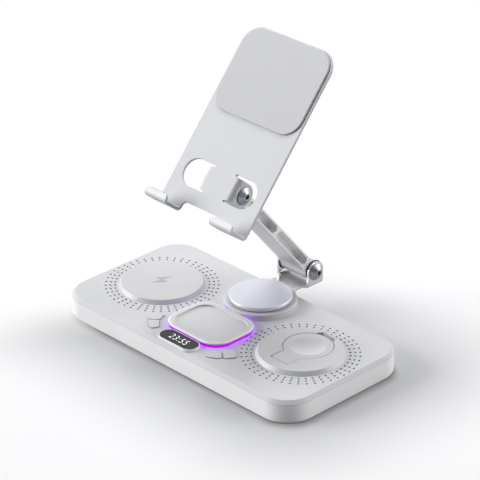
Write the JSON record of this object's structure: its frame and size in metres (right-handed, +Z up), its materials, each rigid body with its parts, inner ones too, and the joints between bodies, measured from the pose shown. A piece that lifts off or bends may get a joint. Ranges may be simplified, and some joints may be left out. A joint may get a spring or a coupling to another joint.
{
  "type": "wireless charging station",
  "caption": "Desktop wireless charging station: flat base with phone pad, flip-up watch pad, lit earbud tray, clock and keys, and a folding metal phone holder on a turntable.",
  "frame": {"origin": "on the table under the middle of the base", "axes": "X along the base, +Y to the back, +Z up"},
  "size_m": [0.202, 0.1204, 0.1849],
  "materials": {
    "white_plastic": "fine matte",
    "grey_plastic": "fine matte",
    "grey_gloss": "satin",
    "silver_paint": "fine metallic lacquer",
    "lavender_paint": "fine metallic lacquer",
    "screw_chrome": "polished",
    "steel": "brushed",
    "nylon_black": "matte",
    "rubber_dark": "matte",
    "silicone": "matte",
    "board_green": "solder mask",
    "copper": "enamelled wire",
    "ferrite": "matte",
    "glass_dark": "polished",
    "light_violet": "lit from inside"
  },
  "bodies": {
    "base": {"rubber_mat": "rubber_dark", "bottom_housing": "white_plastic", "top_cover": "grey_plastic", "housing_screws": "steel", "ballast_plate": "steel", "main_board": "board_green", "inlet_board": "board_green", "usb_inlet": "steel", "phone_pad": "grey_gloss", "phone_coil": "copper", "phone_ferrite": "ferrite", "watch_pad": "grey_gloss", "flap_pin": "steel", "earbud_tray": "grey_gloss", "light_ring": "light_violet", "light_board": "board_green", "earbud_coil": "copper", "earbud_ferrite": "ferrite", "display_bezel": "white_plastic", "display_glass": "glass_dark", "display_board": "board_green", "key_switches": "nylon_black", "turntable_collar": "grey_plastic"},
    "key_lb": {"key_left_back": "grey_gloss"},
    "key_lf": {"key_left_front": "grey_gloss"},
    "key_rb": {"key_right_back": "grey_gloss"},
    "key_rf": {"key_right_front": "grey_gloss"},
    "flap": {"watch_flap": "grey_gloss", "flap_back": "grey_gloss", "watch_coil": "copper"},
    "turntable": {"swivel_bolt": "steel", "swivel_washer": "nylon_black", "swivel_nut": "steel", "hinge_bracket": "silver_paint", "turntable_cap": "lavender_paint", "lower_axle": "steel", "lower_screws": "screw_chrome", "lower_washers": "nylon_black"},
    "arm": {"arm": "silver_paint"},
    "holder": {"upper_axle": "steel", "upper_screws": "screw_chrome", "upper_washers": "nylon_black", "holder_plate": "silver_paint", "holder_pad": "silicone"}
  },
  "joints": [
    {"name": "swivel", "type": "hinge", "parent": "base", "child": "turntable", "pos_m": [0, 0.0269, 0.0192], "axis": [0, 0, 1], "continuous": true},
    {"name": "arm_fold", "type": "hinge", "parent": "turntable", "child": "arm", "pos_m": [0, 0.0618, 0.0294], "axis": [1, 0, 0], "range_deg": [-40, 40]},
    {"name": "holder_tilt", "type": "hinge", "parent": "arm", "child": "holder", "pos_m": [0, -0.00145, 0.10425], "axis": [1, 0, 0], "range_deg": [-90, 45]},
    {"name": "watch_flap_lift", "type": "hinge", "parent": "base", "child": "flap", "pos_m": [0.0613, -0.0163, 0.0154], "axis": [1, 0, 0], "range_deg": [0, 90]},
    {"name": "press_left_back", "type": "slide", "parent": "base", "child": "key_lb", "axis": [0, 0, -1], "range_m": [0, 0.0005], "stiffness_N_per_m": 400, "springref_m": -0.001},
    {"name": "press_left_front", "type": "slide", "parent": "base", "child": "key_lf", "axis": [0, 0, -1], "range_m": [0, 0.0005], "stiffness_N_per_m": 400, "springref_m": -0.001},
    {"name": "press_right_back", "type": "slide", "parent": "base", "child": "key_rb", "axis": [0, 0, -1], "range_m": [0, 0.0005], "stiffness_N_per_m": 400, "springref_m": -0.001},
    {"name": "press_right_front", "type": "slide", "parent": "base", "child": "key_rf", "axis": [0, 0, -1], "range_m": [0, 0.0005], "stiffness_N_per_m": 400, "springref_m": -0.001}
  ]
}
